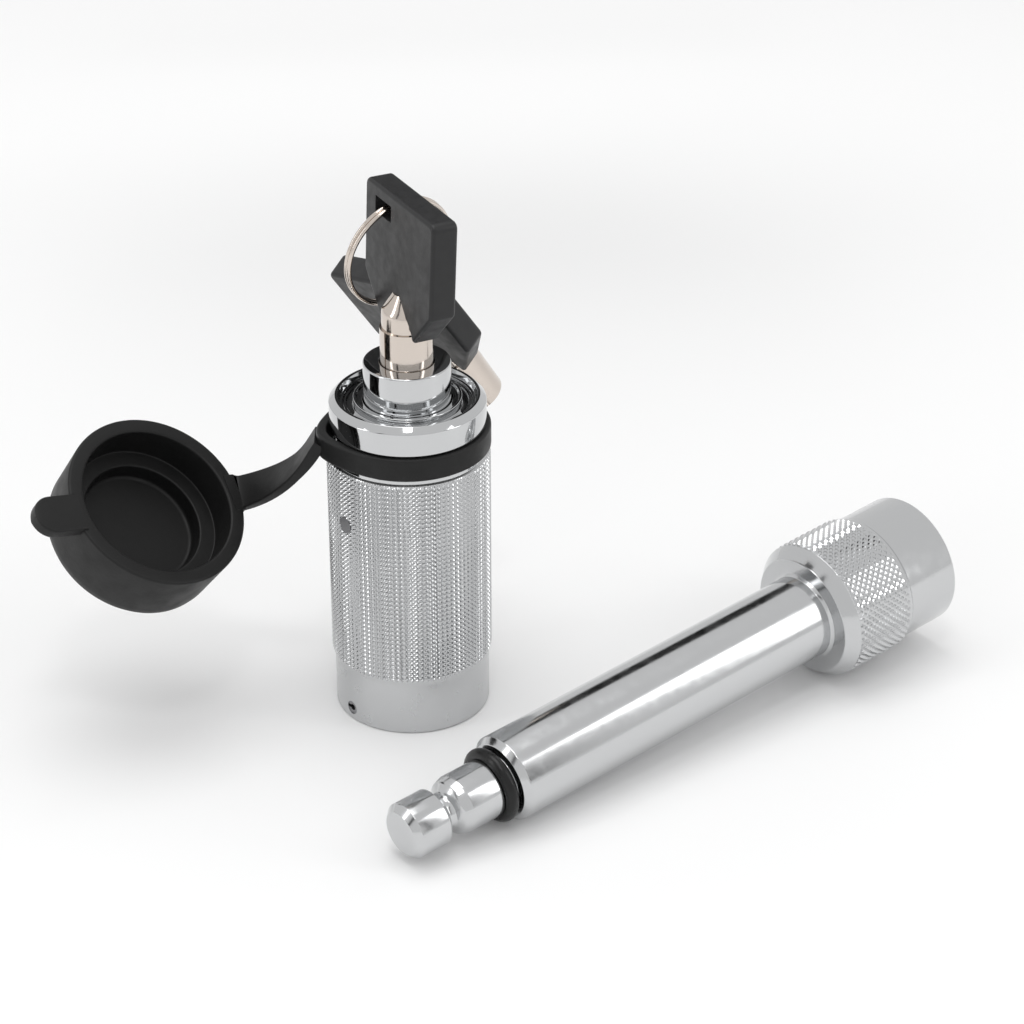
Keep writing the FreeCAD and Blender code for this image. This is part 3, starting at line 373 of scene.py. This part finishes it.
# Ball lock: three balls in a cage, which the sleeve presses into the pin's neck or lets go.
# The cage is pinned through the collar by a rolled pin, and a stop pin through the knurling
# limits the plunger. All of plain steel; the ends of both cross pins show, grey and dull.
dressed(steel, "ball_cage", "locking_sleeve", "locking_ball_1", "locking_ball_2",
        "locking_ball_3", "base_pin", "stop_pin")

# Return spring: hard-drawn steel wire, coiled under the sleeve's web. It shortens as the
# plunger goes in, and pushes it out again. Its finish is the same grey as plain steel.
spring_turns, spring_r, spring_wire_r, spring_low, spring_rise = 4.5, 6.6, 0.59, 27.65, 11.7


def coil(radius, turns, steps, low, rise):
    """Stations (centre, across, up) along a coil, from the height low up through rise."""
    stations = []
    for k in range(steps + 1):
        a = turns * 2 * math.pi * k / steps
        out = Vector((math.cos(a), math.sin(a), 0))
        stations.append((out * radius + Vector((0, 0, low + rise * k / steps)), out,
                         Vector((0, 0, 1))))
    return stations


def wire(radius, sides=16):
    """A round outline."""
    return [(radius * math.cos(2 * math.pi * j / sides),
             radius * math.sin(2 * math.pi * j / sides)) for j in range(sides)]


def swept(stations, outline, closed=False):
    """A skin through stations, each with its outline(k); capped unless it closes on itself."""
    mesh = bpy.data.meshes.new("swept")
    work = bmesh.new()
    rings = [[work.verts.new(centre + across * x + up * y) for x, y in outline(k)]
             for k, (centre, across, up) in enumerate(stations)]
    last = len(rings) if closed else len(rings) - 1
    for k in range(last):
        ring, after = rings[k], rings[(k + 1) % len(rings)]
        for j in range(len(ring)):
            n = (j + 1) % len(ring)
            work.faces.new([ring[j], ring[n], after[n], after[j]])
    if not closed:
        work.faces.new(rings[0][::-1])
        work.faces.new(rings[-1])
    bmesh.ops.recalc_face_normals(work, faces=work.faces)
    work.to_mesh(mesh)
    work.free()
    mesh.shade_smooth()
    mesh.set_sharp_from_angle(angle=math.radians(40))
    return mesh


spring = piece("return_spring_wire", swept(
    coil(spring_r, spring_turns, 216, spring_low, spring_rise), lambda k: wire(spring_wire_r)),
    "barrel_body", steel, ["return_spring"])
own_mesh(spring)

# Keys: tubular blades, nickel plated, each in a bow of black plastic moulded over it.
# Nickel is bright but warmer than chrome, and its tumbled plate wanders between clear and
# hazy. The moulding's fine spark-eroded grain keeps the plastic's shine broad and low.
nickel = finish_of("Nickel plate", "D2C8BF", 1.0, 0.13, spread=0.05, patch=10 / 7)
plastic = finish_of("Moulded black plastic", "202021", 0.0, 0.42, spread=0.08, patch=2,
                    bump=0.012, pit=5 / 13, Specular_IOR_Level=0.4)
dressed(nickel, "key_blade", "spare_key_blade")
dressed(plastic, "key_bow", "spare_key_bow")

# Split ring: spring wire, nickel plated like the blades, wound into nearly two close turns
# that pass through the holes in both bows.
ring_r, ring_wire_r, ring_turns, ring_pitch = 10.445, 0.41, 1.9, 0.85


def placed(at, turn_z, turn_y, turn_x):
    """A place and its three turns in degrees, the one about z made last."""
    return (Matrix.Translation(at) @ Matrix.Rotation(math.radians(turn_z), 4, "Z")
            @ Matrix.Rotation(math.radians(turn_y), 4, "Y")
            @ Matrix.Rotation(math.radians(turn_x), 4, "X"))


piece("split_ring_wire", swept(
    coil(ring_r, ring_turns, 288, -ring_pitch * ring_turns / 2, ring_pitch * ring_turns),
    lambda k: wire(ring_wire_r)),
    "key_ring", nickel, ["split_ring"], placed((3.96, 7.02, 86.2), -6.8, -9.86, 102.31))

# Dust cap: a cup moulded in soft black rubber, with a shoulder inside that stops on the
# bezel, and a flat round-ended pull tab. The mould's matt skin gives it a weak, wide sheen.
cap_place = placed((-38.64, 22.82, 44.72), -4.48, 11.75, 36.55)
cap_r, cap_base_r, cap_low, shoulder_in_r, shoulder_low, floor_r, floor_up = (
    16.88, 16.2, -14.0, 14.15, -6.9, 11.1, -10.3)
tab_root, tab_long, tab_half, tab_round, tab_thick = 15.5, 9.1, 3.6, 21.0, 1.2
tab_side, tab_sink, tip_least = -0.6, -0.75, 0.05
rubber = finish_of("Black rubber", "151515", 0.0, 0.48, spread=0.08, patch=50 / 13,
                   bump=0.02, pit=2 / 3, Specular_IOR_Level=0.3)
tab_ways = [tab_root + tab_long * math.sin(math.pi / 2 * k / 24) for k in range(25)]


def flat_outline(half, thick, rounding):
    """A flat strip's outline, rounded at its four corners."""
    return softened([(-half, -thick, rounding), (half, -thick, rounding),
                     (half, thick, rounding), (-half, thick, rounding)])


def tab_outline(k):
    """The tab's width keeps even, then follows a circle to its round end."""
    past = tab_ways[k] - tab_round
    half = tab_half if past < 0 else math.sqrt(max(tab_half ** 2 - past ** 2, tip_least))
    return flat_outline(half, tab_thick, 0.45)


def joined(*meshes):
    """Several meshes as one."""
    work = bmesh.new()
    for mesh in meshes:
        work.from_mesh(mesh)
    out = bpy.data.meshes.new("joined")
    work.to_mesh(out)
    work.free()
    out.shade_smooth()
    out.set_sharp_from_angle(angle=crease)
    return out


cup = turned([
    (0, cap_low, 0), (cap_base_r, cap_low, 3.2), (cap_r, 0, 0.5), (shoulder_in_r, 0, 0.5),
    (shoulder_in_r, shoulder_low, 0.3), (floor_r, shoulder_low, 0.4), (10.9, floor_up, 0.8),
    (0, floor_up, 0)], 160)
tab = swept([(Vector((-way, tab_side, tab_sink)), Vector((0, 1, 0)), Vector((0, 0, 1)))
             for way in tab_ways], tab_outline)
piece("dust_cap_skin", joined(cup, tab), "cap", rubber, ["dust_cap"], cap_place)

# Band: the strap's own rubber ring, stretched into the barrel's groove. The strap's weight
# pulls it out a little where it hangs.
band_r, band_up, band_thick, band_tall = 13.87, 54.63, 0.9, 2.12
pull_out, pull_at, pull_spread = 1.7, 155, 22
band_stations = []
for k in range(240):
    a = 2 * math.pi * k / 240
    pull = pull_out * math.exp(-((math.degrees(a) - pull_at) / pull_spread) ** 2)
    out = Vector((math.cos(a), math.sin(a), 0))
    band_stations.append((out * (band_r + pull) + Vector((0, 0, band_up)), out,
                          Vector((0, 0, 1))))
band_outline = softened([
    (-band_thick, -band_tall, 0.35), (band_thick, -band_tall, 0.45),
    (band_thick, band_tall, 0.45), (-band_thick, band_tall, 0.35)])
piece("cap_band_skin", swept(band_stations, lambda k: band_outline, True),
      "band", rubber, ["cap_band"])

# Strap: rubber, moulded in one with the band and the cap, and wider and thicker where it
# meets them. It hangs from the band, sweeps out and comes up to the cap's rim. It is made in
# two halves.
strap_half, strap_thick = 3.25, 0.85
cap_flare, band_flare, flare_wide, cap_thicker, band_thicker = 0.10, 0.20, 0.45, 0.1, 0.25
rim_sink, start_sink, start_reach, end_reach = 0.3, 0.55, 6.9, 25.3
foot_out, foot_up = 16.88, 52.98
in_band, in_cap = (0.6, 1.2, 1.8, 2.2), (2.0, 1.2, 0.5)
band_turn, fall, twist = math.radians(149.0), math.radians(57.6), math.radians(14.9)
cap_a, cap_b, cap_n = (cap_place.to_3x3() @ Vector(axis)
                       for axis in ((1, 0, 0), (0, 1, 0), (0, 0, 1)))
band_out = Vector((math.cos(band_turn), math.sin(band_turn), 0))
start = cap_place @ Vector((cap_r, 0, -rim_sink))
end = band_out * foot_out + Vector((0, 0, foot_up))
start_pull = cap_a * start_reach
end_pull = (band_out * -math.cos(fall) + Vector((0, 0, math.sin(fall)))) * end_reach
end_side = (Vector((math.sin(band_turn), -math.cos(band_turn), 0)) * math.cos(twist)
            - Vector((0, 0, math.sin(twist))))


def strap_station(share):
    """The strap's centre, side and upper way at a share of its length from the cap."""
    rest = 1 - share
    ease = min(share * 2, 1)
    centre = (start * (rest ** 2 * (1 + 2 * share)) + end * (share ** 2 * (3 - 2 * share))
              + start_pull * (share * rest ** 2) - end_pull * (share ** 2 * rest)
              - cap_n * start_sink * (1 - ease * ease * (3 - 2 * ease)))
    heading = (start * (-6 * share * rest) + end * (6 * share * rest)
               + start_pull * (rest * (1 - 3 * share))
               - end_pull * (share * (2 - 3 * share))).normalized()
    side = cap_b.lerp(end_side, share)
    side = (side - heading * side.dot(heading)).normalized()
    return centre, side, heading.cross(side)


def strap_part(low, high, root=(), lead=()):
    """The strap from one share to another, with any stations buried in the cap or the band."""
    shares = [low + (high - low) * k / 40 for k in range(41)]
    stations = list(root) + [strap_station(share) for share in shares] + list(lead)
    shares = [0.0] * len(root) + shares + [1.0] * len(lead)

    def outline(k):
        by_cap = max(0, 1 - shares[k] / cap_flare)
        by_band = max(0, (shares[k] - (1 - band_flare)) / band_flare)
        return flat_outline(
            strap_half + flare_wide * by_cap ** 2 + flare_wide * by_band ** 2,
            strap_thick + cap_thicker * by_cap + band_thicker * by_band, 0.4)
    return swept(stations, outline)


centre, side, up = strap_station(1.0)
heading = end_pull.normalized()
lead = [(centre + heading * step, side, up) for step in in_band]
first, first_side, first_up = strap_station(0.0)
root = [(first - cap_a * step, first_side, first_up) for step in in_cap]
near_band = piece("strap_band_half", strap_part(0.5, 1.0, lead=lead), None, rubber,
                  ["cap_strap"])
near_cap = piece("strap_cap_half", strap_part(0.0, 0.5, root=root), None, rubber,
                 ["cap_strap"])
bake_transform(near_band)
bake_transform(near_cap)

# Hitch pin: turned from one steel bar and chrome plated: tip, neck for the balls, seal
# groove, plain shank and head. It lies on its shank and its knurling. Fine turning marks
# under the plate blur its reflections a little.
shank_r, shank_low, shank_top, collar_low = 7.9375, 22.74, 94.2, 94.6
tip_r, neck_r, waist_r, groove_floor_r, head_r, cone_r, seat_in_r = (
    5.2, 3.4, 5.41, 4.42, 12.5, 13.12, 13.0)
groove_from, groove_to, head_knurl_low, head_knurl_top, pin_long = 18.6, 21.2, 97.2, 110.2, 122.5
head_knurl_r = 13.29
pin_chrome = finish_of("Chrome plate over turning marks", "C8C9CA", 1.0, 0.15,
                       spread=0.04, patch=2)
tilt = math.asin((head_knurl_r - shank_r) / (collar_low - shank_low))
pin_place = Matrix.Translation((
    -35.2, -41.8, shank_r * math.cos(tilt) - shank_low * math.sin(tilt))) @ Matrix.Rotation(
    math.pi / 2 - tilt, 4, "Y")
piece("hitch_pin_skin", turned([
    (0, 0, 0), (4.0, 0, 0.3), (tip_r, 1.2, 0.3), (tip_r, 7.2, 0.4), (4.0, 7.35, 0.3),
    (neck_r, 8.3, 0.7), (3.45, 9.4, 0.5), (4.9, 10.4, 0.9), (waist_r, 12.0, 1.0),
    (waist_r, groove_from, 0.15), (groove_floor_r, groove_from, 0.15),
    (groove_floor_r, groove_to, 0.15), (waist_r, groove_to, 0.1), (waist_r, 21.64, 0.1),
    (6.85, 21.64, 0.3), (shank_r, shank_low, 0.4), (shank_r, shank_top, 0.2),
    (8.5, collar_low, 0.2), (11.25, collar_low, 0.3), (cone_r, 97.0, 0.15),
    (seat_in_r, head_knurl_low, 0), (seat_in_r, head_knurl_top, 0), (12.95, 110.45, 0.1),
    (head_r, 111.1, 0.2), (head_r, pin_long, 0.6), (0, pin_long, 0)], 224),
    "loose_pin", pin_chrome, ["hitch_pin"], pin_place)

# Head knurling: a deeper and coarser diamond than the barrel's, rolled round the pin's head
# for the hand, and as bright as polished chrome.
piece("hitch_pin_knurling", knurled(
    bright_chrome, Radius=head_knurl_r * MM, Start=head_knurl_low * MM,
    End=head_knurl_top * MM, Depth=0.42 * MM, Teeth=58.0, Pitch=1.45 * MM, Crest=2.1,
    Points_round=581, Points_along=109),
    "loose_pin", bright_chrome, (), pin_place)

# O-ring: black rubber, sprung into the pin's groove to close the barrel's mouth. It is
# smoother than the cap, so it shows one narrow line of light.
seal_r, seal_wire_r, seal_up = 5.69, 1.25, 19.9
o_rubber = finish_of("Black O-ring rubber", "101010", 0.0, 0.30, spread=0.05, patch=5 / 3,
                     Specular_IOR_Level=0.35)
piece("pin_o_ring_skin", swept(
    coil(seal_r, 1, 128, seal_up, 0)[:-1], lambda k: wire(seal_wire_r, 32), True),
    "loose_pin", o_rubber, ["pin_o_ring"], pin_place)

# Studio: a pale floor, a broad soft light above, three small lights about the camera, and
# black cards that give the chrome something dark to show. The room itself is white.
view_right = Vector((0.77102, -0.63681, -0.001104))
view_up = Vector((0.311745, 0.375934, 0.872633))
view_back = -Vector((0.555287, 0.673162, -0.488375))
aim = Vector((0.005, -0.01, 0.05))
floor_mesh = bpy.data.meshes.new("floor")
floor_mesh.from_pydata([(-3, -3, 0), (3, -3, 0), (3, 3, 0), (-3, 3, 0)], [], [(0, 1, 2, 3)])
floor_mesh.materials.append(finish_of("Pale floor", "F6F6F6", 0.0, 0.6))
floor = bpy.data.objects.new("floor", floor_mesh)
bpy.context.scene.collection.objects.link(floor)
for label, watts, size, place in (
        ("top", 1.8, (0.5, 0.5), aim + Vector((0.0, 0.1, 0.8))),
        ("left", 0.55, (0.12, 0.5),
         aim - view_right * 0.6 + view_back * 0.35 + view_up * 0.15),
        ("right", 0.5, (0.12, 0.5),
         aim + view_right * 0.6 + view_back * 0.3 + view_up * 0.2),
        ("front", 0.5, (0.12, 0.12), aim + view_back * 0.7 + view_up * 0.5)):
    data = bpy.data.lights.new(label, "AREA")
    data.shape = "RECTANGLE"
    data.size, data.size_y = size
    data.energy = watts
    light = bpy.data.objects.new(label, data)
    light.location = place
    light.rotation_euler = (place - aim).to_track_quat("Z", "Y").to_euler()
    bpy.context.scene.collection.objects.link(light)
card_finish = finish_of("Black card", "050505", 0.0, 0.9)
for label, (wide, tall), place in (
        ("card_left", (0.03, 0.2),
         aim - view_right * 0.30 + view_back * 0.42 + view_up * 0.05),
        ("card_right", (0.012, 0.2),
         aim + view_right * 0.40 + view_back * 0.30 + view_up * 0.05),
        ("card_front", (0.04, 0.025), aim + view_back * 0.62 + view_up * 0.28),
        ("card_back", (0.075, 0.05), Vector((0.122, 0.148, 0.175)))):
    facing = (aim - place).to_track_quat("Z", "Y").to_matrix()
    corners = [place + facing @ Vector((x * wide, y * tall, 0))
               for x, y in ((-1, -1), (1, -1), (1, 1), (-1, 1))]
    data = bpy.data.meshes.new(label)
    data.from_pydata(corners, [], [(0, 1, 2, 3)])
    data.materials.append(card_finish)
    card = bpy.data.objects.new(label, data)
    bpy.context.scene.collection.objects.link(card)
world = bpy.data.worlds.new("Studio")
world.use_nodes = True
world.node_tree.nodes["Background"].inputs["Color"].default_value = linear("FFFFFF")
world.node_tree.nodes["Background"].inputs["Strength"].default_value = 0.80
bpy.context.scene.world = world
bpy.context.scene.view_settings.view_transform = "Standard"

# Camera: a long lens, set above and to one side, so that upright edges stay nearly upright
# and near and far pieces keep nearly the same scale.
camera_data = bpy.data.cameras.new("camera")
camera_data.lens = 110.51
camera_data.sensor_width = 36
camera_data.clip_start = 0.01
camera = bpy.data.objects.new("camera", camera_data)
camera.matrix_world = (Matrix.Translation((-0.300164, -0.392819, 0.314847))
                       @ Matrix((view_right, view_up, view_back)).transposed().to_4x4())
bpy.context.scene.collection.objects.link(camera)
bpy.context.scene.camera = camera
